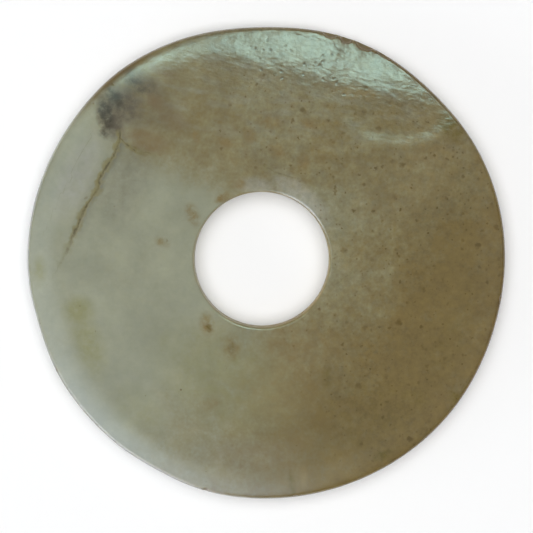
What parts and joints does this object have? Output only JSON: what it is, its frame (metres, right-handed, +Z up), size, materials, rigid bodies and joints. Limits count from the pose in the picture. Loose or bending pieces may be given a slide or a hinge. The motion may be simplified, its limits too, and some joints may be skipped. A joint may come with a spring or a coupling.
{
  "type": "jade bi disc",
  "caption": "Flat hand-ground ring of mottled nephrite with a round hole drilled from both faces, a gentle saw slope and small rim chips.",
  "frame": {"origin": "middle of the disc's box, on the surface that the disc lies on", "axes": "+Z up out of the worked face, +Y towards the edge with the saw slope, +X to the right seen from above"},
  "size_m": [0.1706, 0.169, 0.0085],
  "materials": {
    "nephrite": "polished, mottled pale celadon to olive brown, slightly translucent"
  },
  "bodies": {
    "root": {"bi_disc": "nephrite"}
  },
  "joints": []
}
